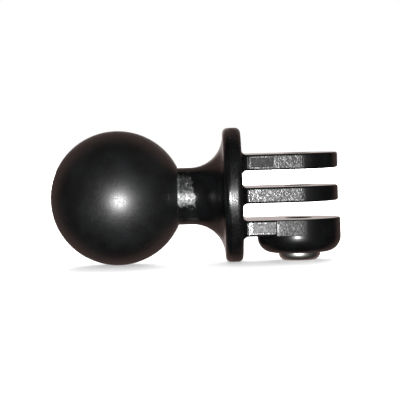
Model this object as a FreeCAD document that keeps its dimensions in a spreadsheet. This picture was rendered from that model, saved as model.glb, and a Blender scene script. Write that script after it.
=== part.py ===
import FreeCAD, Part
import math
import os
import Sketcher

from FreeCAD import Vector

# One-inch ball adapter: a rubber-covered ball on one end, and on the other a three-prong clevis with a
# captive lock nut. Millimetres. The origin is the ball's centre, +X runs from the ball to the prongs, and
# +Z is the clevis bore's direction, away from the nut.

SIZES = {
    # ball: a rubber cover moulded over a keyed core
    "ball_radius": 12.7,
    "core_radius": 10.2,
    "key_radius": 8.6,
    "key_near": 1.6,
    "key_far": 4.8,
    "seam_round": 0.2,
    # neck and flange
    "neck_radius": 5.4,
    "neck_end": 14.0,
    "flare_radius": 6.1,
    "flange_radius": 12.7,
    "flange_back": 23.5,
    "rim_round": 1.0,
    # three prongs, all one thickness and pitch
    "prong_radius": 7.6,
    "prong_thick": 2.95,
    "prong_pitch": 6.15,
    "prong_edge": 0.4,
    "root_round": 1.0,
    "panel_start": 25.3,
    "panel_long": 4.1,
    "panel_tall": 1.65,
    "panel_deep": 0.25,
    # bore across the prongs, and the nut boss under the last one
    "bore_place": 34.15,
    "bore_radius": 2.6,
    "boss_radius": 7.9,
    "boss_tall": 3.5,
    "boss_round": 2.9,
    "cheek_start": 29.5,
    "cheek_ramp": 0.2,
    "cheek_round": 0.25,
    # M5 lock nut, eight across the flats
    "nut_flats": 8.0,
    "pocket_gap": 0.04,
    "nut_tall": 5.0,
    "collar_radius": 3.95,
    "collar_round": 1.25,
    "nut_chamfer": 0.45,
    "thread_minor": 2.1,
    "thread_deep": 3.2,
    "ring_radius": 3.3,
    "ring_tall": 1.45,
    "ring_bore": 2.3,
    "lip_radius": 2.85,
}

# Height of the last prong's outer face, where the boss begins and the nut seats.
SEAT = "- prong_pitch - prong_thick / 2"

# An edge lies at a place when it is within this distance of it.
CLOSE = 0.01

# A pad adds at least this many cubic millimetres and a cut takes at least as many away.
LEAST_CHANGE = 0.1


def make_sheet(doc):
    """Put every driving dimension in one spreadsheet, a row each."""
    sheet = doc.addObject("Spreadsheet::Sheet", "Sizes")
    for row, (alias, number) in enumerate(SIZES.items(), start=1):
        sheet.set(f"A{row}", alias.replace("_", " "))
        sheet.set(f"B{row}", str(number))
        sheet.setAlias(f"B{row}", alias)
    doc.recompute()
    return sheet


def bound(text):
    """Turn a formula over the sizes into an expression that reads the spreadsheet."""
    words = text.replace("(", "( ").replace(")", " )").split()
    return " ".join(f"Sizes.{word}" if word in SIZES else word for word in words)


def bind(thing, place, text):
    thing.setExpression(place, bound(text))


def new_body(doc, name):
    body = doc.addObject("PartDesign::Body", name)
    body.Label = name
    body.Placement = FreeCAD.Placement()
    return body


def origin_feature(body, role):
    return next(item for item in body.Origin.OriginFeatures if item.Role == role)


def new_sketch(body, name, plane, height="0", along="0"):
    """A sketch on one of the body's own origin planes, lifted along the plane's normal and moved along X."""
    sketch = body.newObject("Sketcher::SketchObject", name)
    sketch.AttachmentSupport = [(origin_feature(body, plane), "")]
    sketch.MapMode = "FlatFace"
    bind(sketch, "AttachmentOffset.Base.z", height)
    bind(sketch, "AttachmentOffset.Base.x", along)
    return sketch


def pin_point(sketch, item, end, place):
    """Fix one end of a sketch element at a pair of formulas."""
    for formula, kind, axis in ((place[0], "DistanceX", -2), (place[1], "DistanceY", -1)):
        if formula == "0":
            sketch.addConstraint(Sketcher.Constraint("PointOnObject", item, end, axis))
            continue
        number = sketch.evalExpression(bound(formula))
        mark = sketch.addConstraint(Sketcher.Constraint(kind, -1, 1, item, end, number))
        bind(sketch, f"Constraints[{mark}]", formula)


def arc_between(start, end, radius, left):
    """The shorter arc between two points, with its centre on the left or right of the way."""
    chord = end - start
    half = chord.Length / 2
    side = Vector(-chord.y, chord.x, 0).normalize() * (1 if left else -1)
    centre = start + chord * 0.5 + side * math.sqrt(max(radius**2 - half**2, 0))
    circle = Part.Circle(centre, Vector(0, 0, 1), radius)
    first, last = (start, end) if left else (end, start)
    return Part.ArcOfCircle(circle, circle.parameter(first), circle.parameter(last))


def draw_loop(sketch, steps):
    """Draw a closed outline. A step is (x, y), or (x, y, radius, side) to arrive along an arc."""
    spots = [Vector(*(sketch.evalExpression(bound(part)) for part in step[:2]), 0) for step in steps]
    count = len(steps)
    exits = []
    for number in range(count):
        after = (number + 1) % count
        step = steps[after]
        if len(step) == 2:
            item = sketch.addGeometry(Part.LineSegment(spots[number], spots[after]))
            entry, leave = 1, 2
        else:
            left = step[3] == "left"
            radius = sketch.evalExpression(bound(step[2]))
            item = sketch.addGeometry(arc_between(spots[number], spots[after], radius, left))
            entry, leave = (1, 2) if left else (2, 1)
            mark = sketch.addConstraint(Sketcher.Constraint("Radius", item, radius))
            bind(sketch, f"Constraints[{mark}]", step[2])
        exits.append((item, entry, leave))
    for number, (item, entry, leave) in enumerate(exits):
        before = exits[number - 1]
        sketch.addConstraint(Sketcher.Constraint("Coincident", before[0], before[2], item, entry))
        pin_point(sketch, item, entry, steps[number])


def draw_circle(sketch, radius):
    """A circle about the sketch's own origin."""
    size = sketch.evalExpression(bound(radius))
    item = sketch.addGeometry(Part.Circle(Vector(), Vector(0, 0, 1), size))
    mark = sketch.addConstraint(Sketcher.Constraint("Radius", item, size))
    bind(sketch, f"Constraints[{mark}]", radius)
    sketch.addConstraint(Sketcher.Constraint("Coincident", item, 3, -1, 1))


def draw_hexagon(sketch, flats):
    """A regular hexagon about the sketch's own origin, with two corners on its X axis."""
    corner = f"{flats} / sqrt( 3 )"
    high, low = f"{flats} / 2", f"- {flats} / 2"
    right, left = f"{corner} / 2", f"- {corner} / 2"
    upper = [(corner, "0"), (right, high), (left, high)]
    lower = [(f"- {corner}", "0"), (left, low), (right, low)]
    draw_loop(sketch, upper + lower)


def turn(body, kind, name, sketch, axis):
    feature = body.newObject(f"PartDesign::{kind}", name)
    feature.Profile = sketch
    feature.ReferenceAxis = (sketch, [axis])
    feature.Angle = 360
    return feature


def turn_along(body, kind, name, steps):
    """Revolve an outline, drawn as (along, radius), about the X axis."""
    sketch = new_sketch(body, f"{name}_outline", "XY_Plane")
    draw_loop(sketch, steps)
    return turn(body, kind, name, sketch, "H_Axis")


def turn_upright(body, kind, name, steps):
    """Revolve an outline, drawn as (radius, height), about the bore's axis."""
    sketch = new_sketch(body, f"{name}_outline", "XZ_Plane", along="bore_place")
    draw_loop(sketch, steps)
    return turn(body, kind, name, sketch, "V_Axis")


def extrude(body, kind, name, sketch, length, reverse=False):
    feature = body.newObject(f"PartDesign::{kind}", name)
    feature.Profile = sketch
    feature.Reversed = reverse
    bind(feature, "Length", length)
    return feature


def round_edges(body, name, wanted, radius):
    """Fillet the edges of the body's present shape that pass a test."""
    body.Document.recompute()
    base = body.Tip
    names = [f"Edge{number}" for number, edge in enumerate(base.Shape.Edges, start=1) if wanted(edge)]
    feature = body.newObject("PartDesign::Fillet", name)
    feature.Base = (base, names)
    bind(feature, "Radius", radius)
    return feature


def lies_in(edge, axis, place):
    """Is the whole edge at one coordinate along an axis?"""
    box = edge.BoundBox
    return abs(getattr(box, f"{axis}Min") - place) < CLOSE and abs(getattr(box, f"{axis}Max") - place) < CLOSE


def core_outline():
    """The keyed core from its far pole to where the neck leaves it: a ball with two rings cut round it."""
    far, near = "key_far", "key_near"
    return [
        ("- core_radius", "0"),
        (f"- {far}", f"sqrt( core_radius ^2 - {far} ^2)", "core_radius", "right"),
        (f"- {far}", "key_radius"),
        (f"- {near}", "key_radius"),
        (f"- {near}", f"sqrt( core_radius ^2 - {near} ^2)"),
        (near, f"sqrt( core_radius ^2 - {near} ^2)", "core_radius", "right"),
        (near, "key_radius"),
        (far, "key_radius"),
        (far, f"sqrt( core_radius ^2 - {far} ^2)"),
        ("sqrt( core_radius ^2 - neck_radius ^2)", "neck_radius", "core_radius", "right"),
    ]


def build_ball_cover(doc):
    """The rubber cover: the ball, less the core and neck that it was moulded over."""
    body = new_body(doc, "ball_cover")
    ball = [
        ("- ball_radius", "0"),
        ("0", "ball_radius", "ball_radius", "right"),
        ("ball_radius", "0", "ball_radius", "right"),
    ]
    turn_along(body, "Revolution", "ball", ball)
    inside = core_outline() + [("neck_end", "neck_radius"), ("neck_end", "0")]
    turn_along(body, "Groove", "core_space", inside)
    size = doc.Sizes

    def at_seam(edge):
        seam = math.sqrt(size.ball_radius**2 - size.neck_radius**2)
        return lies_in(edge, "X", seam) and edge.Length > size.neck_radius

    round_edges(body, "seam_edge", at_seam, "seam_round")
    return body


def add_stem(body):
    """Core, neck, flare and flange, turned as one profile."""
    rim = "flange_radius - rim_round"
    left = "neck_end + flare_radius"
    outline = core_outline() + [
        ("neck_end", "neck_radius"),
        (left, "neck_radius + flare_radius", "flare_radius", "left"),
        (left, rim),
        (f"{left} + rim_round", "flange_radius", "rim_round", "right"),
        ("flange_back - rim_round", "flange_radius"),
        ("flange_back", rim, "rim_round", "right"),
        ("flange_back", "0"),
    ]
    turn_along(body, "Revolution", "stem", outline)


def add_prongs(body):
    """Three flat-sided, round-ended prongs, an even pitch apart, with rounded edges and roots."""
    sketch = new_sketch(body, "prong_outline", "XY_Plane", SEAT)
    outline = [
        ("flange_back - rim_round", "- prong_radius"),
        ("bore_place", "- prong_radius"),
        ("bore_place + prong_radius", "0", "prong_radius", "left"),
        ("bore_place", "prong_radius", "prong_radius", "left"),
        ("flange_back - rim_round", "prong_radius"),
    ]
    draw_loop(sketch, outline)
    prong = extrude(body, "Pad", "prong", sketch, "prong_thick")
    body.Document.recompute()
    pattern = body.newObject("PartDesign::LinearPattern", "three_prongs")
    pattern.Originals = [prong]
    pattern.Direction = (origin_feature(body, "Z_Axis"), [""])
    pattern.Occurrences = 3
    bind(pattern, "Length", "2 * prong_pitch")
    body.Tip = pattern
    size = body.Document.Sizes

    def outer_edge(edge):
        box = edge.BoundBox
        level = box.ZLength < CLOSE
        return level and box.XMin > size.flange_back - CLOSE and box.XLength > size.prong_edge

    def root_edge(edge):
        within_prong = edge.BoundBox.YLength < 2 * size.prong_radius + CLOSE
        return lies_in(edge, "X", size.flange_back) and within_prong

    round_edges(body, "prong_edges", outer_edge, "prong_edge")
    round_edges(body, "prong_roots", root_edge, "root_round")


def add_boss(body):
    """The last prong's wider cheek, and the round boss under it that holds the nut."""
    cheek = new_sketch(body, "cheek_outline", "XY_Plane", SEAT)
    outline = [
        ("cheek_start", "- prong_radius"),
        ("cheek_start + cheek_ramp", "- boss_radius"),
        ("bore_place", "- boss_radius"),
        ("bore_place + boss_radius", "0", "boss_radius", "left"),
        ("bore_place", "boss_radius", "boss_radius", "left"),
        ("cheek_start + cheek_ramp", "boss_radius"),
        ("cheek_start", "prong_radius"),
    ]
    draw_loop(cheek, outline)
    extrude(body, "Pad", "cheek", cheek, "prong_thick")
    disc = new_sketch(body, "boss_outline", "XY_Plane", SEAT, "bore_place")
    draw_circle(disc, "boss_radius")
    extrude(body, "Pad", "boss", disc, "boss_tall", reverse=True)
    size = body.Document.Sizes
    seat = disc.evalExpression(bound(SEAT))

    def lower_rim(edge):
        return lies_in(edge, "Z", seat - size.boss_tall)

    def upper_rim(edge):
        box = edge.BoundBox
        beside = max(-box.YMin, box.YMax) > size.boss_radius - CLOSE
        beyond = box.XMax > size.bore_place + size.prong_radius
        return (beside or beyond) and lies_in(edge, "Z", seat + size.prong_thick)

    round_edges(body, "boss_edge", lower_rim, "boss_round")
    round_edges(body, "cheek_edge", upper_rim, "cheek_round")


def cut_bore(body):
    sketch = new_sketch(body, "bore_outline", "XY_Plane", along="bore_place")
    draw_circle(sketch, "bore_radius")
    bore = body.newObject("PartDesign::Pocket", "bore")
    bore.Profile = sketch
    bore.SideType = "Symmetric"
    bind(bore, "Length", "2 * prong_pitch + prong_thick + 2 * boss_tall")


def cut_nut_pocket(body):
    sketch = new_sketch(body, "pocket_outline", "XY_Plane", f"{SEAT} - boss_tall", "bore_place")
    draw_hexagon(sketch, "( nut_flats + 2 * pocket_gap )")
    extrude(body, "Pocket", "nut_pocket", sketch, "boss_tall", reverse=True)


def cut_panels(body):
    """Shallow rectangular panels on both sides of the outer prongs."""
    sketch = new_sketch(body, "panel_outline", "XZ_Plane", "prong_radius")
    for level in ("prong_pitch", "- prong_pitch"):
        low, high = f"{level} - panel_tall / 2", f"{level} + panel_tall / 2"
        ends = ("panel_start", "panel_start + panel_long")
        draw_loop(sketch, [(ends[0], low), (ends[1], low), (ends[1], high), (ends[0], high)])
    panel = extrude(body, "Pocket", "panels", sketch, "panel_deep")
    body.Document.recompute()
    mirror = body.newObject("PartDesign::Mirrored", "both_sides")
    mirror.Originals = [panel]
    mirror.MirrorPlane = (origin_feature(body, "XZ_Plane"), [""])
    body.Tip = mirror


def build_adapter_body(doc):
    """One glass-filled moulding: core, neck, flange, prongs and boss."""
    body = new_body(doc, "adapter_body")
    add_stem(body)
    add_prongs(body)
    add_boss(body)
    cut_panels(body)
    cut_bore(body)
    cut_nut_pocket(body)
    return body


def build_lock_nut(doc):
    """A hexagon with a round collar that holds the locking ring. Its bore is the thread's minor diameter."""
    body = new_body(doc, "lock_nut")
    hexagon = new_sketch(body, "hexagon_outline", "XY_Plane", SEAT, "bore_place")
    draw_hexagon(hexagon, "nut_flats")
    extrude(body, "Pad", "hexagon", hexagon, "boss_tall", reverse=True)
    disc = new_sketch(body, "collar_outline", "XY_Plane", f"{SEAT} - boss_tall", "bore_place")
    draw_circle(disc, "collar_radius")
    extrude(body, "Pad", "collar", disc, "nut_tall - boss_tall", reverse=True)
    bottom = disc.evalExpression(bound(f"{SEAT} - nut_tall"))
    round_edges(body, "collar_edge", lambda edge: lies_in(edge, "Z", bottom), "collar_round")
    seat, corner = f"{SEAT}", "nut_flats / sqrt( 3 ) + nut_chamfer"
    bevel = [("nut_flats / 2", seat), (corner, seat), (corner, f"{seat} - nut_chamfer")]
    turn_upright(body, "Groove", "corner_bevel", bevel)
    ring_top, ring_end = f"{seat} - thread_deep", f"{seat} - thread_deep - ring_tall"
    hollow = [
        ("0", seat),
        ("thread_minor + nut_chamfer", seat),
        ("thread_minor", f"{seat} - nut_chamfer"),
        ("thread_minor", ring_top),
        ("ring_radius", ring_top),
        ("ring_radius", ring_end),
        ("lip_radius", ring_end),
        ("lip_radius", f"{seat} - nut_tall"),
        ("0", f"{seat} - nut_tall"),
    ]
    turn_upright(body, "Groove", "hollow", hollow)
    return body


def build_locking_ring(doc):
    """The plain nylon ring that the collar closes over."""
    body = new_body(doc, "locking_ring")
    top, end = f"{SEAT} - thread_deep", f"{SEAT} - thread_deep - ring_tall"
    section = [("ring_bore", top), ("ring_radius", top), ("ring_radius", end), ("ring_bore", end)]
    turn_upright(body, "Revolution", "ring", section)
    return body


def changes_too_little(feature):
    """Does a pad or a cut point the wrong way, so that it adds or takes nothing?"""
    signs = {"Pad": 1, "Revolution": 1, "Pocket": -1, "Groove": -1}
    sign = signs.get(feature.TypeId.split("::")[-1])
    if sign is None or feature.BaseFeature is None:
        return False
    change = feature.Shape.Volume - feature.BaseFeature.Shape.Volume
    print(f"{feature.Label}: {change:+.1f} mm3")
    return sign * change < LEAST_CHANGE


def check_document(doc, bodies):
    """Stop before writing if a feature failed or does nothing, or a body isn't one valid solid."""
    failed = [item.Name for item in doc.Objects if {"Invalid", "Error"} & set(item.State)]
    failed += [item.Name for body in bodies for item in body.Group if changes_too_little(item)]
    for body in bodies:
        if body.Shape.isNull() or not body.Shape.isValid() or len(body.Shape.Solids) != 1:
            failed.append(body.Label)
    if failed:
        raise RuntimeError(f"failed: {failed}")


def main():
    doc = FreeCAD.newDocument("BallAdapter")
    make_sheet(doc)
    builders = (build_adapter_body, build_ball_cover, build_lock_nut, build_locking_ring)
    bodies = [build(doc) for build in builders]
    doc.recompute()
    check_document(doc, bodies)
    os.makedirs("parts", exist_ok=True)
    for body in bodies:
        box = body.Shape.BoundBox
        print(f"{body.Label}: {body.Shape.Volume:.1f} mm3, {len(body.Shape.Faces)} faces, {box}")
        body.Shape.exportStep(os.path.join("parts", f"{body.Label}.step"))


main()
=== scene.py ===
import math

import bmesh
import bpy
from mathutils import Matrix, Vector


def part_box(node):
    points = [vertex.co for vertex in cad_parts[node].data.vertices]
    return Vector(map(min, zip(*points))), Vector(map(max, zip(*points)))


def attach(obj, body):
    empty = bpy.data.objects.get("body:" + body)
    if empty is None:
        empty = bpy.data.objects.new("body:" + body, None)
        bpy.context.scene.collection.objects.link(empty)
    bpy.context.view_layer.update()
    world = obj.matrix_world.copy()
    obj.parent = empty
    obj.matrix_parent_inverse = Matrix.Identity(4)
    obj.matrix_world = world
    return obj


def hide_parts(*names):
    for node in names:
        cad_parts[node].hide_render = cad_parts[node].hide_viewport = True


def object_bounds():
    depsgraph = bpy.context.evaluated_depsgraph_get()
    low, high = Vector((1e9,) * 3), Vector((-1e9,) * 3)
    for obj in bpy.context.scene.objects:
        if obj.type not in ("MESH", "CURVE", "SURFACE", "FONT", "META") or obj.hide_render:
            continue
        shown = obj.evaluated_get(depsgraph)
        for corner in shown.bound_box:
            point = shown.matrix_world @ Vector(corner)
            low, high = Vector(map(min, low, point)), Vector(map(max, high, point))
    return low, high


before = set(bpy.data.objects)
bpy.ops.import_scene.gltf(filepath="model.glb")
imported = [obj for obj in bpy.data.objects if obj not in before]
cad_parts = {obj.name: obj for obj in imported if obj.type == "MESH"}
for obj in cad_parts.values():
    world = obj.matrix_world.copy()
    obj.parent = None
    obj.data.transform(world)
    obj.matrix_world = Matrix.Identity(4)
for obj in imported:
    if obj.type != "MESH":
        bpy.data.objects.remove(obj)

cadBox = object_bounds()
mm = 0.001
weld = 0.002 * mm  # points nearer than this are one
print("frame loaded:", ", ".join(sorted(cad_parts)))


class Wire:
    # an output socket; arithmetic on it adds Math nodes to its tree
    def __init__(self, board, socket):
        self.board = board
        self.socket = socket

    def __add__(self, other):
        return self.board.calc("ADD", self, other)

    def __radd__(self, other):
        return self.board.calc("ADD", other, self)

    def __sub__(self, other):
        return self.board.calc("SUBTRACT", self, other)

    def __rsub__(self, other):
        return self.board.calc("SUBTRACT", other, self)

    def __mul__(self, other):
        return self.board.calc("MULTIPLY", self, other)

    def __rmul__(self, other):
        return self.board.calc("MULTIPLY", other, self)

    def __truediv__(self, other):
        return self.board.calc("DIVIDE", self, other)

    def __rtruediv__(self, other):
        return self.board.calc("DIVIDE", other, self)


class Board:
    # a shader or geometry tree that is being wired up
    def __init__(self, tree):
        self.tree = tree

    def add(self, kind, settings=None, sockets=None):
        node = self.tree.nodes.new(kind)
        for name, value in (settings or {}).items():
            setattr(node, name, value)
        for name, value in (sockets or {}).items():
            if isinstance(value, Wire):
                self.tree.links.new(value.socket, node.inputs[name])
            else:
                node.inputs[name].default_value = value
        return node

    def wire(self, kind, settings=None, sockets=None, output=0):
        return Wire(self, self.add(kind, settings, sockets).outputs[output])

    def calc(self, operation, *values):
        return self.wire("ShaderNodeMath", {"operation": operation}, dict(enumerate(values)))

    def split(self, vector):
        node = self.add("ShaderNodeSeparateXYZ", None, {"Vector": vector})
        return [Wire(self, output) for output in node.outputs]

    def step(self, value, low, high, outLow=0.0, outHigh=1.0):
        # glides from outLow to outHigh while value goes from low to high
        ends = {"Value": value, "From Min": low, "From Max": high, "To Min": outLow, "To Max": outHigh}
        return self.wire("ShaderNodeMapRange", {"interpolation_type": "SMOOTHSTEP"}, ends)

    def over(self, value, level, soft):
        # 1 above the level, 0 below it, with a soft edge of that half width
        return self.step(value, level - soft, level + soft)

    def under(self, value, level, soft):
        return self.step(value, level - soft, level + soft, 1.0, 0.0)

    def band(self, value, low, high, soft):
        # 1 between low and high, 0 outside them
        return self.over(value, low, soft) * self.under(value, high, soft)

    def blend(self, share, first, second):
        return self.wire("ShaderNodeMix", {"data_type": "RGBA"}, {0: share, 6: first, 7: second}, 2)

    def noise(self, place, size, detail=2.0, rough=0.5):
        # size is the pattern's grid, in millimetres
        sockets = {"Vector": place, "Scale": 1 / size, "Detail": detail, "Roughness": rough}
        return self.wire("ShaderNodeTexNoise", None, sockets)

    def specks(self, place, spacing, radius):
        # small round dots where a scatter of points comes near the surface
        distance = self.wire("ShaderNodeTexVoronoi", None, {"Vector": place, "Scale": 1 / spacing})
        return self.step(distance, 0.6 * radius / spacing, radius / spacing, 1.0, 0.0)

    def hairlines(self, place, turn, width, length):
        # thin scratches: a noise that is drawn out along one direction, cut to a narrow level
        settings = {"Vector": place, "Rotation": turn, "Scale": (1 / length, 1 / width, 1 / width)}
        drawn = self.wire("ShaderNodeMapping", None, settings)
        level = self.wire("ShaderNodeTexNoise", None, {"Vector": drawn, "Scale": 1.0, "Detail": 2.0})
        return self.step(self.calc("ABSOLUTE", level - 0.5), 0.004, 0.016, 1.0, 0.0)


def newMaterial(name):
    # a material with its board and its object coordinates in millimetres
    material = bpy.data.materials.new(name)
    material.use_nodes = True
    material.node_tree.nodes.clear()
    board = Board(material.node_tree)
    metres = board.wire("ShaderNodeTexCoord", None, None, "Object")
    place = board.wire("ShaderNodeVectorMath", {"operation": "SCALE"}, {"Vector": metres, "Scale": 1 / mm})
    return material, board, place


def coat(board, colour, roughness, height, settings=None):
    # height is in millimetres
    bump = board.wire("ShaderNodeBump", None, {"Height": height, "Distance": mm, "Strength": 1.0})
    sockets = {"Base Color": colour, "Roughness": roughness, "Normal": bump, **(settings or {})}
    shader = board.wire("ShaderNodeBsdfPrincipled", None, sockets)
    board.add("ShaderNodeOutputMaterial", None, {"Surface": shader})


rubberLook = {
    "black": (0.0026, 0.0026, 0.0027, 1),
    "bloom": (0.0042, 0.0050, 0.0054, 1),  # the paler cast of handled rubber
    "bloomSize": 4.5,  # all sizes here are in millimetres
    "dust": (0.10, 0.10, 0.10, 1),
    "dustSpacing": 1.5,
    "dustRadius": 0.075,
    "roughness": 0.40,
    "speckle": 0.11,  # how much the gloss varies from speck to speck
    "speckleSize": 0.30,
    "grainSize": 0.20,
    "grainDeep": 0.012,
    "lipStart": 11.25,  # from here to the neck the moulded edge is rough
    "lipRoughness": 0.15,
    "crumbSize": 0.22,
    "crumbDeep": 0.02,
    "index": 1.52,
    "specular": 1.0,
}


def makeRubber():
    look = rubberLook
    material, board, place = newMaterial("coverRubber")
    along = board.split(place)[0]
    cloud = board.noise(place, look["bloomSize"], 5.0, 0.6)
    grain = board.noise(place, look["grainSize"], 3.0, 0.6)
    lip = board.step(along, look["lipStart"], look["lipStart"] + 0.12)
    # pale crumbs on the moulded edge, which are also painted glints of the rough edge catching the light
    crumbsAndGlints = lip * board.step(board.noise(place, look["crumbSize"], 2.0), 0.5, 0.62)
    dusty = board.step(board.noise(place, 6.0), 0.42, 0.55)
    dust = dusty * board.specks(place, look["dustSpacing"], look["dustRadius"])
    colour = board.blend(board.step(cloud, 0.38, 0.68), look["black"], look["bloom"])
    colour = board.blend(board.calc("MAXIMUM", dust, crumbsAndGlints * 0.6), colour, look["dust"])
    speckled = board.step(board.noise(place, look["speckleSize"], 4.0, 0.8), 0.38, 0.62) - 0.5
    roughness = look["roughness"] + (cloud - 0.5) * 0.08 - speckled * look["speckle"]
    roughness = roughness + lip * look["lipRoughness"]
    height = grain * look["grainDeep"] + dust * 0.01 + crumbsAndGlints * look["crumbDeep"]
    coat(board, colour, roughness, height, {"IOR": look["index"], "Specular IOR Level": look["specular"]})
    return material


boreAlong = 34.15  # the axis of the bore and the nut, in millimetres from the ball's centre

nylonLook = {
    "black": (0.0023, 0.0023, 0.0024, 1),
    "cool": (0.0035, 0.0040, 0.0043, 1),
    "cloudSize": 3.5,  # all sizes here are in millimetres
    # pale grey of the neck's scuffs, partly a painted highlight where the flash meets the neck
    "scuffAndHighlightGrey": (0.20, 0.205, 0.21, 1),
    "dust": (0.12, 0.12, 0.12, 1),
    "dustSpacing": 2.1,
    "dustRadius": 0.085,
    "neckRoughness": 0.54,  # the worn patches; the rest of the neck is like the flare
    "flareRoughness": 0.20,
    "flangeRoughness": 0.38,
    "flatRoughness": 0.13,  # the prongs' broad faces
    "rootRoughness": 0.09,  # the polished stretch where the prongs leave the flange
    "bossWallRoughness": 0.31,
    "bossRoughness": 0.30,
    "sideRoughness": 0.46,
    "panelRoughness": 0.45,
    "burnishedRoughness": 0.30,
    "wornSheen": 1.0,  # strength of the bright coat on the worn patches
    "coatRoughness": 0.44,
    "coatIndex": 2.1,
    "index": 1.53,
    "specular": 0.56,
    "grainSize": 0.16,
    "grainDeep": 0.016,
    "sparkSize": 0.30,  # the spark-eroded texture of the prongs' sides
    "sparkDeep": 0.085,
    "scratchDeep": 0.03,
}

nylonPlaces = {
    "seam": 11.45,  # along the part, in millimetres
    "neckEnd": 14.5,
    "flareEnd": 21.5,
    "flangeBack": 23.5,
    "texture": (24.85, 24.25),  # where the texture starts on the first two prongs, and on the last
    "textureFade": (0.2, 1.7),  # past the bore's axis, where the sides begin to turn
    "panel": (25.3, 29.4),
    "panelHalf": 0.825,
    "cheek": (29.70, 30.15),
    "wallRadius": 7.6,
    "outer": 3.1,  # the first and the last prong are further than this from the middle
    "pitch": 6.15,
    "bossTop": -7.65,
    "bossRound": -8.9,  # below this height the boss rounds over
    "wornFront": (-0.30, 0.78),  # the worn patches, as turns about the neck in radians
    "wornBack": (2.2, 3.0),
    "wornBelow": (-2.2, -1.5),
    "hardWearAndHighlight": (0.08, 0.34),  # the wear, with the painted highlight on it, lightens between these two turns
}


def makeNylon():
    look, at = nylonLook, nylonPlaces
    material, board, place = newMaterial("glassFilledNylon")
    x, y, z = board.split(place)
    cloud = board.noise(place, look["cloudSize"], 4.0, 0.6)
    grain = board.noise(place, look["grainSize"], 3.0, 0.65)

    # the neck, with scuffs where a socket's rim rubs it; on its front their pale colour is also a painted
    # highlight
    ragged = board.noise(place, 0.8, 5.0, 0.75) - 0.5
    turn = board.calc("ARCTAN2", z, 0 - y)  # about the long axis, 0 at the front and rising upwards
    leaning = x + turn * 0.8 + ragged * 1.5
    neck = board.over(x, at["seam"] - 0.55, 0.05) * board.under(leaning, at["neckEnd"], 0.1)
    around = turn + ragged * 1.1
    worn = board.band(around, *at["wornFront"], 0.07)
    worn = worn + board.band(around, *at["wornBack"], 0.1) + board.band(around, *at["wornBelow"], 0.1)
    patch = neck * worn
    heavyWearAndHighlight = board.step(around, *at["hardWearAndHighlight"], 1.0, 0.0)
    rubbed = board.step(board.noise(place, 0.26, 4.0, 0.8), 0.48, 0.58)
    flecks = board.step(board.noise(place, 0.38, 4.0, 0.8), 0.44, 0.54)
    rim = board.band(x, at["seam"], at["seam"] + 0.40, 0.06)  # the worn edge beside the seam, lightened as a painted highlight
    chips = board.specks(place, 0.55, 0.15) * board.step(board.noise(place, 1.1), 0.42, 0.56)
    marks = rubbed * (0.20 + 0.25 * heavyWearAndHighlight) + chips * 1.5 + rim * (0.2 + 0.4 * heavyWearAndHighlight)
    # the scuffs' pale colour, which on the front is also a painted highlight
    scuffAndHighlight = patch * board.calc("MINIMUM", marks, 1.0)
    lines = board.calc("MAXIMUM", board.hairlines(place, (0.3, 0.5, 0.9), 0.22, 5.0),
                       board.hairlines(place, (1.1, -0.6, -0.4), 0.3, 7.0))
    scratches = neck * lines * board.step(board.noise(place, 2.2), 0.40, 0.50)

    # the clevis: side walls, their panels and borders
    beyond = board.calc("MAXIMUM", x - boreAlong, 0.0)
    reach = board.calc("SQRT", beyond * beyond + y * y)
    clevis = board.over(x, at["flangeBack"] + 0.2, 0.1)
    edge = board.over(reach, at["wallRadius"] - 0.08, 0.04)
    last = board.under(z, -at["outer"], 0.1)
    first = board.over(z, at["outer"], 0.1)
    started = board.over(x + last * (at["texture"][0] - at["texture"][1]), at["texture"][0], 0.1)
    root = clevis * edge * (1 - started)
    wall = clevis * edge * started
    side = wall * board.step(beyond, *at["textureFade"], 1.0, 0.0)
    tip = wall * (1 - side)
    level = board.calc("ABSOLUTE", z)
    rise = board.calc("ABSOLUTE", level - at["pitch"])  # up or down from the prong's middle
    panel = board.over(level, at["outer"], 0.1) * board.under(rise, at["panelHalf"], 0.03)
    panel = panel * board.band(x, *at["panel"], 0.04) * board.over(reach, at["wallRadius"] - 0.45, 0.05)
    boss = clevis * board.under(z, at["bossTop"], 0.1)
    cheek = last * wall * board.over(x, at["cheek"][0] - 0.05, 0.05)
    burnished = cheek * board.under(x, at["cheek"][1], 0.05) * board.under(rise, at["panelHalf"], 0.1)
    textured = side * (1 - boss) * (1 - panel)
    flat = clevis * (1 - edge) * (1 - panel) * (1 - boss)

    # how rough each area is
    mottle = board.step(board.noise(place, 0.24, 3.0, 0.7), 0.42, 0.58)
    speckled = (cloud - 0.5) * 0.10 + (0.5 - mottle) * 0.16
    streaks = board.wire("ShaderNodeMapping", None,
                         {"Vector": place, "Rotation": (0, 0.7, 0), "Scale": (1.0, 1.0, 0.55)})
    glints = board.step(board.noise(streaks, look["sparkSize"] * 0.8, 2.0, 0.7), 0.42, 0.58)
    outwards = board.step(x, 25.0, 34.0)  # duller towards the tips
    bright = last * board.under(x, at["panel"][0], 0.2)
    sides = look["sideRoughness"] + first * 0.07 + outwards * 0.06 - bright * 0.13
    sides = sides + cheek * (outwards * 0.10 + 0.02) - glints * (0.27 - last * 0.06)
    uneven = board.noise(place, 0.30, 3.0, 0.75) - 0.5
    wallGloss, roundGloss = look["bossWallRoughness"], look["bossRoughness"]
    bossGloss = board.step(z, at["bossRound"] - 0.1, at["bossRound"] + 0.1, roundGloss, wallGloss)
    # each area lies over the ones before it
    areas = [
        (1 - patch, look["flareRoughness"]),
        (board.step(x, at["flareEnd"] - 0.4, at["flareEnd"]), look["flangeRoughness"] + speckled * 1.5),
        (flat, look["flatRoughness"]),
        (root, look["rootRoughness"]),
        (boss, bossGloss),
        (tip, look["bossRoughness"]),
        (textured, sides),
        (panel, look["panelRoughness"] + first * 0.20 - uneven * 0.55),
        (burnished, look["burnishedRoughness"]),
    ]
    roughness = look["neckRoughness"] + speckled * 1.6 + scratches * 0.25 - (1 - heavyWearAndHighlight) * 0.16
    for mask, value in areas:
        roughness = board.step(mask, 0.0, 1.0, roughness, value)

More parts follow.
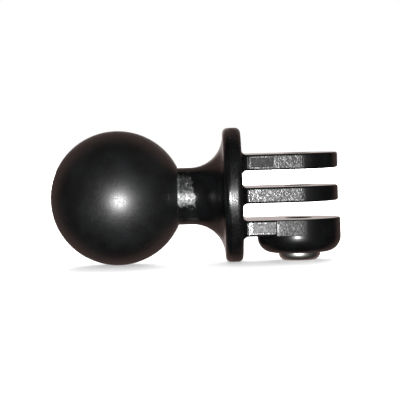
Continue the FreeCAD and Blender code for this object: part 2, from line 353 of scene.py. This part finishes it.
    dusty = board.step(board.noise(place, 5.0), 0.45, 0.6)
    dust = dusty * board.specks(place, look["dustSpacing"], look["dustRadius"])
    colour = board.blend(board.step(cloud, 0.4, 0.7), look["black"], look["cool"])
    # pale scuffs, partly real wear and partly a painted highlight
    colour = board.blend(board.calc("MINIMUM", scuffAndHighlight + scratches * 0.08, 1.0), colour, look["scuffAndHighlightGrey"])
    colour = board.blend(dust, colour, look["dust"])

    calm = 1 - 0.9 * board.calc("MINIMUM", flat + boss + tip + root + panel * 0.5, 1.0)
    spark = board.noise(streaks, look["sparkSize"], 2.0, 0.6)
    height = grain * calm * look["grainDeep"] - scratches * look["scratchDeep"] + dust * 0.01
    height = height + spark * textured * (1 - burnished) * (1 - 0.65 * last) * look["sparkDeep"]
    sheen = patch * (0.1 + 0.9 * flecks) * (0.2 + 0.8 * heavyWearAndHighlight) * (1 - scratches) * look["wornSheen"]
    coat(board, colour, roughness, height, {
        "IOR": look["index"],
        "Specular IOR Level": look["specular"],
        "Coat Weight": sheen,
        "Coat Roughness": look["coatRoughness"],
        "Coat IOR": look["coatIndex"],
    })
    return material


steelLook = {
    "bright": (0.92, 0.90, 0.87, 1),
    "dull": (0.70, 0.68, 0.66, 1),
    "cloudSize": 0.8,
    "roughness": 0.37,
    "ringsDeep": 0.016,  # fine turning marks round the collar
    "ringsFine": 14,  # how many of them there are in a millimetre
    "pitSize": 0.12,
    "pitsDeep": 0.003,
}


def makeSteel():
    look = steelLook
    material, board, place = newMaterial("nutSteel")
    x, y, z = board.split(place)
    across = x - boreAlong
    reach = board.calc("SQRT", across * across + y * y)
    spot = {"X": reach * look["ringsFine"], "Y": z * look["ringsFine"], "Z": 0.0}
    marks = board.wire("ShaderNodeCombineXYZ", None, spot)
    rings = board.wire("ShaderNodeTexNoise", None, {"Vector": marks, "Scale": 1.0, "Detail": 3.0})
    cloud = board.noise(place, look["cloudSize"], 4.0, 0.65)
    pits = board.noise(place, look["pitSize"], 2.0)
    colour = board.blend(board.step(cloud, 0.4, 0.75), look["bright"], look["dull"])
    roughness = look["roughness"] + (cloud - 0.5) * 0.18 + (rings - 0.5) * 0.10
    height = rings * look["ringsDeep"] + pits * look["pitsDeep"]
    coat(board, colour, roughness, height, {"Metallic": 1.0})
    return material


ringLook = {
    "milky": (0.62, 0.60, 0.54, 1),
    "stained": (0.42, 0.39, 0.33, 1),
    "stainSize": 0.9,
    "roughness": 0.42,
    "grainSize": 0.1,
    "grainDeep": 0.004,
}


def makeRingNylon():
    look = ringLook
    material, board, place = newMaterial("ringNylon")
    cloud = board.noise(place, look["stainSize"], 4.0, 0.6)
    grain = board.noise(place, look["grainSize"], 2.0)
    colour = board.blend(board.step(cloud, 0.45, 0.75), look["milky"], look["stained"])
    coat(board, colour, look["roughness"] + (cloud - 0.5) * 0.15, grain * look["grainDeep"])
    return material


rubber, nylon, steel, ringNylon = makeRubber(), makeNylon(), makeSteel(), makeRingNylon()
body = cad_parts["adapter_body"]
body.data.materials.clear()
body.data.materials.append(nylon)
print("materials made")


def trace(steps, fineness):
    # points along an outline of (along, radius) places
    # a place's third value is the centre of the arc that leads to it, in points fineness degrees apart
    points = [Vector(steps[0])]
    for step in steps[1:]:
        end = Vector(step[:2])
        if len(step) == 3:
            centre = Vector(step[2])
            start = points[-1] - centre
            sweep = start.angle_signed(end - centre)
            count = max(2, round(math.degrees(abs(sweep)) / fineness))
            for number in range(1, count):
                points.append(centre + Matrix.Rotation(-sweep * number / count, 2) @ start)
        points.append(end)
    return points


def profileObject(name, points):
    mesh = bpy.data.meshes.new(name)
    edges = [(number, number + 1) for number in range(len(points) - 1)]
    mesh.from_pydata([(point.x, point.y, 0) for point in points], edges, [])
    holder = bpy.data.objects.new(name, mesh)
    bpy.context.scene.collection.objects.link(holder)
    return holder


def newGroup(name, inputs):
    # a geometry tree with named inputs, its board and their wires
    tree = bpy.data.node_groups.new(name, "GeometryNodeTree")
    tree.interface.new_socket("Geometry", in_out="INPUT", socket_type="NodeSocketGeometry")
    tree.interface.new_socket("Geometry", in_out="OUTPUT", socket_type="NodeSocketGeometry")
    for label, kind in inputs.items():
        tree.interface.new_socket(label, in_out="INPUT", socket_type=f"NodeSocket{kind}")
    board = Board(tree)
    entry = board.add("NodeGroupInput")
    return tree, board, {output.name: Wire(board, output) for output in entry.outputs if output.name}


def endGroup(board, geometry, material):
    real = board.wire("GeometryNodeRealizeInstances", None, {"Geometry": geometry})
    dressed = board.wire("GeometryNodeSetMaterial", None, {"Geometry": real, "Material": material})
    board.add("NodeGroupOutput", None, {"Geometry": dressed})


def turnedTree():
    # turns a profile of (along, radius) vertices, in order, about Z
    inputs = {
        "Segments": "Int",
        "Profile Points": "Int",
        "Weld Distance": "Float",
        "Material": "Material",
    }
    tree, board, given = newGroup("turnedPiece", inputs)
    rows = given["Profile Points"]
    columns = given["Segments"] + 1
    grid = board.wire("GeometryNodeMeshGrid", None, {"Vertices X": columns, "Vertices Y": rows})
    number = board.wire("GeometryNodeInputIndex")
    column = board.calc("FLOOR", number / rows)
    row = number - column * rows
    place = board.wire("GeometryNodeInputPosition")
    sample = board.wire("GeometryNodeSampleIndex", {"data_type": "FLOAT_VECTOR", "domain": "POINT"},
                        {"Geometry": given["Geometry"], "Value": place, "Index": row})
    along, radius = board.split(sample)[:2]
    angle = column / given["Segments"] * math.tau
    across = radius * board.calc("COSINE", angle)
    aside = radius * board.calc("SINE", angle)
    spot = board.wire("ShaderNodeCombineXYZ", None, {"X": across, "Y": aside, "Z": along})
    placed = board.wire("GeometryNodeSetPosition", None, {"Geometry": grid, "Position": spot})
    welded = board.wire("GeometryNodeMergeByDistance", None,
                        {"Geometry": placed, "Distance": given["Weld Distance"]})
    smooth = board.wire("GeometryNodeSetShadeSmooth", None, {"Geometry": welded})
    endGroup(board, smooth, given["Material"])
    return tree


def threadTree():
    # sweeps a ridge's profile, (outwards, along) vertices, up a helix whose ends run out into the bore
    inputs = {
        "Pitch": "Float",
        "Turns": "Float",
        "Root Radius": "Float",
        "Steps": "Int",
        "Run Out": "Float",
        "Weld Distance": "Float",
        "Material": "Material",
    }
    tree, board, given = newGroup("screwThread", inputs)
    helix = board.wire("GeometryNodeCurveSpiral", None, {
        "Resolution": given["Steps"],
        "Rotations": given["Turns"],
        "Start Radius": given["Root Radius"],
        "End Radius": given["Root Radius"],
        "Height": given["Turns"] * given["Pitch"],
    })
    upright = board.wire("GeometryNodeSetCurveNormal", {"mode": "Z_UP"}, {"Curve": helix})
    share = board.wire("GeometryNodeSplineParameter", None, None, "Factor")
    thin = 0.02  # the ridge's size at its two ends, as a share of the full size
    runIn = board.step(share, 0.0, given["Run Out"], thin, 1.0)
    runOut = board.step(share, 1 - given["Run Out"], 1.0, 1.0, thin)
    sized = board.wire("GeometryNodeSetCurveRadius", None, {"Curve": upright, "Radius": runIn * runOut})
    closed = board.wire("GeometryNodeMergeByDistance", None,
                        {"Geometry": given["Geometry"], "Distance": given["Weld Distance"]})
    ridge = board.wire("GeometryNodeMeshToCurve", None, {"Mesh": closed})
    swept = board.wire("GeometryNodeCurveToMesh", None,
                       {"Curve": sized, "Profile Curve": ridge, "Fill Caps": True})
    endGroup(board, swept, given["Material"])
    return tree


def runTree(holder, tree, values):
    # the plain mesh that the tree makes of the holder, which is then removed
    modifier = holder.modifiers.new(tree.name, "NODES")
    modifier.node_group = tree
    for item in tree.interface.items_tree:
        if item.in_out == "INPUT" and item.name in values:
            modifier[item.identifier] = values[item.name]
    evaluated = holder.evaluated_get(bpy.context.evaluated_depsgraph_get())
    mesh = bpy.data.meshes.new_from_object(evaluated)
    holder.modifiers.remove(modifier)
    old = holder.data
    bpy.data.objects.remove(holder)
    bpy.data.meshes.remove(old)
    return mesh


def faceOutwards(mesh):
    form = bmesh.new()
    form.from_mesh(mesh)
    bmesh.ops.recalc_face_normals(form, faces=form.faces)
    form.to_mesh(mesh)
    form.free()


def turnedMesh(name, points, segments, material, place):
    holder = profileObject(name, points)
    mesh = runTree(holder, turned, {
        "Segments": segments,
        "Profile Points": len(points),
        "Weld Distance": weld,
        "Material": material,
    })
    mesh.transform(place)
    faceOutwards(mesh)
    return mesh


def addPiece(name, mesh, material, node, sharpness=35):
    mesh.materials.clear()
    mesh.materials.append(material)
    mesh.polygons.foreach_set("material_index", [0] * len(mesh.polygons))
    mesh.set_sharp_from_angle(angle=math.radians(sharpness))
    piece = bpy.data.objects.new(name, mesh)
    bpy.context.scene.collection.objects.link(piece)
    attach(piece, "root")
    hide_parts(node)
    print(name, "made,", len(mesh.polygons), "faces")


turned = turnedTree()
thread = threadTree()

cover = {
    "neckRadius": 5.42 * mm,
    "coreRadius": 10.22 * mm,
    "keyRadius": 8.62 * mm,
    "keys": (1.6 * mm, 4.8 * mm),  # where each of the two key grooves starts and ends, from the middle
    "seamRound": 0.16 * mm,
    "segments": 192,
    "fineness": 2.0,  # degrees between the points of the outline
}


def buildCover():
    low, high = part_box("ball_cover")
    ball = (high.z - low.z) / 2
    neck, core = cover["neckRadius"], cover["coreRadius"]
    key, small = cover["keyRadius"], cover["seamRound"]
    near, far = cover["keys"]
    centre = (0, 0)

    def onCore(along):
        return along, math.sqrt(core**2 - along**2)

    # the seam's round touches the ball from inside and the neck's bore
    roundAlong = math.sqrt((ball - small)**2 - (neck + small)**2)
    touch = Vector((roundAlong, neck + small)).normalized() * ball
    outline = [
        (-ball, 0),
        (0, ball, centre),
        (*touch, centre),
        (roundAlong, neck, (roundAlong, neck + small)),
        (math.sqrt(core**2 - neck**2), neck),
        (*onCore(far), centre),
        (far, key),
        (near, key),
        onCore(near),
        (*onCore(-near), centre),
        (-near, key),
        (-far, key),
        onCore(-far),
        (-core, 0, centre),
    ]
    place = Matrix.Rotation(math.pi / 2, 4, "Y")  # the turning axis from Z to X
    mesh = turnedMesh("ballCover", trace(outline, cover["fineness"]), cover["segments"], rubber, place)
    addPiece("ballCover", mesh, rubber, "ball_cover")


nut = {
    "flats": 8.0 * mm,
    "cornerRound": 0.18 * mm,
    "collarRadius": 3.95 * mm,
    "collarRound": 1.25 * mm,
    "hexTall": 3.5 * mm,
    "lipRadius": 2.85 * mm,
    "ringSeat": 3.3 * mm,
    "ringTall": 1.45 * mm,
    "chamfer": 0.45 * mm,
    "footBevel": 0.18 * mm,
    "smallRound": 0.10 * mm,
    "threadRadius": 2.5 * mm,
    "threadPitch": 0.8 * mm,
    "threadDeep": 0.41 * mm,
    "threadTall": 3.2 * mm,
    "threadSunk": 0.05 * mm,  # how far the ridge's foot goes into the wall
    "threadCrest": 0.12 * mm,
    "threadRoot": 0.36 * mm,  # half of the ridge's foot
    "threadSteps": 48,
    "runOut": 0.07,  # share of the thread over which each end fades
    "segments": 96,
    "fineness": 7.5,
}


def hexBar(low, high, centre):
    # the bar that the nut is cut from: six flats with small rounds between them
    half, small = nut["flats"] / 2, nut["cornerRound"]
    out = (half - small) / math.cos(math.pi / 6)
    ring = []
    for corner in range(6):
        middle = corner * math.pi / 3
        for lean in (-1, -0.5, 0, 0.5, 1):
            angle = middle + lean * math.pi / 6
            ring.append((centre + out * math.cos(middle) + small * math.cos(angle),
                         out * math.sin(middle) + small * math.sin(angle)))
    form = bmesh.new()
    ends = [[form.verts.new((across, aside, level)) for across, aside in ring] for level in (low, high)]
    form.faces.new(reversed(ends[0]))
    form.faces.new(ends[1])
    for number in range(len(ring)):
        after = (number + 1) % len(ring)
        form.faces.new((ends[0][number], ends[0][after], ends[1][after], ends[1][number]))
    mesh = bpy.data.meshes.new("hexBar")
    form.to_mesh(mesh)
    form.free()
    return mesh


def common(first, second):
    # what two closed meshes share
    pair = [bpy.data.objects.new("work", mesh) for mesh in (first, second)]
    for item in pair:
        bpy.context.scene.collection.objects.link(item)
    modifier = pair[0].modifiers.new("common", "BOOLEAN")
    modifier.operation = "INTERSECT"
    modifier.solver = "EXACT"
    modifier.object = pair[1]
    evaluated = pair[0].evaluated_get(bpy.context.evaluated_depsgraph_get())
    mesh = bpy.data.meshes.new_from_object(evaluated)
    for item in pair:
        bpy.data.objects.remove(item)
    return mesh


def joined(meshes):
    form = bmesh.new()
    for mesh in meshes:
        form.from_mesh(mesh)
    whole = bpy.data.meshes.new("joined")
    form.to_mesh(whole)
    form.free()
    return whole


def buildNut():
    low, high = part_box("lock_nut")
    along = (low.x + high.x) / 2
    seat, foot = high.z, low.z
    corner = nut["flats"] / math.sqrt(3) + 0.2 * mm  # a little outside the hexagon's own corners
    shoulder = seat - nut["hexTall"]
    bore, chamfer, bevel = nut["threadRadius"], nut["chamfer"], nut["footBevel"]
    collar, bend, lip = nut["collarRadius"], nut["collarRound"], nut["lipRadius"]
    ringTop = seat - nut["threadTall"]
    ringEnd = ringTop - nut["ringTall"]
    small = nut["smallRound"]
    # the height at which the collar's roll meets the lip
    rollEnd = foot + bend - math.sqrt(bend**2 - (lip + small - collar + bend)**2)
    blank = [
        (seat, bore + 0.6 * chamfer),
        (seat, nut["flats"] / 2 - 0.15 * mm),
        (seat - chamfer, corner),
        (shoulder + bevel, corner),
        (shoulder, corner - 2.2 * bevel),
        (shoulder, collar + small),
        (shoulder - small, collar, (shoulder - small, collar + small)),
        (foot + bend, collar),
        (rollEnd, lip + small, (foot + bend, collar - bend)),
        (rollEnd + small, lip, (rollEnd + small, lip + small)),
        (ringEnd, lip),
        (ringEnd, nut["ringSeat"]),
        (ringTop, nut["ringSeat"]),
        (ringTop, bore),
        (seat - 0.6 * chamfer, bore),
        (seat, bore + 0.6 * chamfer),
    ]
    place = Matrix.Translation((along, 0, 0))
    shape = turnedMesh("nutBlank", trace(blank, nut["fineness"]), nut["segments"], steel, place)
    shape = common(shape, hexBar(foot - mm, seat + mm, along))
    crest, root = nut["threadCrest"], nut["threadRoot"]
    sunk, deep = nut["threadSunk"], nut["threadDeep"]
    outline = [(sunk, -root), (-deep, -crest / 2), (-deep, crest / 2), (sunk, root), (sunk, -root)]
    holder = profileObject("threadRidge", [Vector(spot) for spot in outline])
    winding = runTree(holder, thread, {
        "Pitch": nut["threadPitch"],
        "Turns": (nut["threadTall"] - chamfer - 2 * root) / nut["threadPitch"],
        "Root Radius": bore,
        "Steps": nut["threadSteps"],
        "Run Out": nut["runOut"],
        "Weld Distance": weld,
        "Material": steel,
    })
    winding.transform(Matrix.Translation((along, 0, ringTop + 1.1 * root)))
    faceOutwards(winding)
    addPiece("lockNut", joined([shape, winding]), steel, "lock_nut", 28)


ring = {
    "edgeRound": 0.3 * mm,
    "bore": 2.3 * mm,
    "play": 0.02 * mm,  # keeps the ring just clear of its seat
    "segments": 96,
    "fineness": 10.0,
}


def buildRing():
    low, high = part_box("locking_ring")
    along = (low.x + high.x) / 2
    outer, inner = (high.x - low.x) / 2 - ring["play"], ring["bore"]
    top, foot, small = high.z - ring["play"], low.z + ring["play"], ring["edgeRound"]
    outline = [
        (top - small, inner),
        (top, inner + small, (top - small, inner + small)),
        (top, outer - small),
        (top - small, outer, (top - small, outer - small)),
        (foot + small, outer),
        (foot, outer - small, (foot + small, outer - small)),
        (foot, inner + small),
        (foot + small, inner, (foot + small, inner + small)),
        (top - small, inner),
    ]
    place = Matrix.Translation((along, 0, 0))
    mesh = turnedMesh("lockingRing", trace(outline, ring["fineness"]), ring["segments"], ringNylon, place)
    addPiece("lockingRing", mesh, ringNylon, "locking_ring")


buildCover()
buildNut()
buildRing()

studio = {
    "distance": 367 * mm,
    "elevation": 2.35,
    "roll": 1.7,
    "aim": Vector((15.57, 0, -0.80)) * mm,
    "frameWidth": 75.8 * mm,  # what the view takes in at the aim
    "sensorWidth": 36,
    "flashPlace": Vector((14.2, -169.0, -10.0)) * mm,
    "flashRadius": 2.0 * mm,
    "flashPower": 3.7,  # its light on the object; the white room gives 3.14
    "floorHalf": 3.0,
    "floorGlow": 0.45,
}

# each lamp's place, size and radiance, and its colour where it isn't white
lamps = {
    "warmBack": ((0.015, 0.6, 0.0), 2.0, 0.22, (1, 0.66, 0.58)),
    "backSoft": ((0.015, 0.6, 0.03), 0.4, 0.5, (1, 0.97, 0.95)),
    "paleStrip": ((0.015, 0.6, 0.03), 0.16, 1.6, (1, 0.98, 0.96)),
    "frontFill": ((0.0, -0.9, 0.0), 1.8, 0.04),
}

# these only lift the body colour and show no reflection, so that the back and the top are not lost
fills = {
    "backFill": ((0.1, 0.6, 0.3), 0.5, 18.0),
    "topFill": ((0.0, 0.3, 0.7), 0.5, 5.0),
}


def makeCamera():
    data = bpy.data.cameras.new("studioCamera")
    data.sensor_width = studio["sensorWidth"]
    data.lens = studio["sensorWidth"] * studio["distance"] / studio["frameWidth"]
    data.clip_start, data.clip_end = 0.01, 20
    camera = bpy.data.objects.new("studioCamera", data)
    bpy.context.scene.collection.objects.link(camera)
    lift = math.radians(studio["elevation"])
    back = Vector((0, -math.cos(lift), math.sin(lift)))
    turn = (-back).to_track_quat("-Z", "Y").to_matrix().to_4x4()
    roll = Matrix.Rotation(math.radians(-studio["roll"]), 4, "Z")
    camera.matrix_world = Matrix.Translation(studio["aim"] + back * studio["distance"]) @ turn @ roll
    bpy.context.scene.camera = camera


def makeLight(name, place, size, radiance, colour=(1, 1, 1), shape="SQUARE", target=studio["aim"]):
    data = bpy.data.lights.new(name, "AREA")
    data.shape = shape
    data.size = size
    area = size**2 * (math.pi / 4 if shape == "DISK" else 1)
    data.energy = radiance * area * math.pi
    data.color = colour
    light = bpy.data.objects.new(name, data)
    bpy.context.scene.collection.objects.link(light)
    turn = (Vector(target) - Vector(place)).to_track_quat("-Z", "Y").to_matrix().to_4x4()
    light.matrix_world = Matrix.Translation(place) @ turn
    light.visible_camera = False
    return light


def makeWorld():
    world = bpy.data.worlds.new("whiteRoom")
    bpy.context.scene.world = world
    world.use_nodes = True
    sky = world.node_tree.nodes["Background"]
    sky.inputs["Color"].default_value = (1, 1, 1, 1)
    sky.inputs["Strength"].default_value = 1.0
    world.cycles_visibility.glossy = False
    bpy.context.scene.view_settings.view_transform = "Standard"


def makeFloor():
    level = cadBox[0].z
    half = studio["floorHalf"]
    corners = [(-half, -half, level), (half, -half, level), (half, half, level), (-half, half, level)]
    mesh = bpy.data.meshes.new("floor")
    mesh.from_pydata(corners, [], [(0, 1, 2, 3)])
    floor = bpy.data.objects.new("floor", mesh)
    bpy.context.scene.collection.objects.link(floor)
    material, board, place = newMaterial("paleFloor")
    cloud = board.noise(place, 30.0, 3.0)
    colour = board.blend(cloud, (0.985, 0.985, 0.985, 1), (0.995, 0.995, 0.995, 1))
    matt = board.wire("ShaderNodeBsdfDiffuse", None, {"Color": colour})
    glow = board.wire("ShaderNodeEmission", None, {"Color": (1, 1, 1, 1), "Strength": 1.0})
    shader = board.wire("ShaderNodeMixShader", None, {0: studio["floorGlow"], 1: matt, 2: glow})
    board.add("ShaderNodeOutputMaterial", None, {"Surface": shader})
    mesh.materials.append(material)
    floor.visible_glossy = False


def makeLights():
    place, radius = studio["flashPlace"], studio["flashRadius"]
    spread = math.pi * radius**2 / place.length**2
    makeLight("flash", place, 2 * radius, studio["flashPower"] / spread, shape="DISK", target=(0, 0, 0))
    for name, lamp in lamps.items():
        makeLight(name, *lamp)
    for name, lamp in fills.items():
        makeLight(name, *lamp).visible_glossy = False


makeCamera()
makeWorld()
makeFloor()
makeLights()
print("studio made")
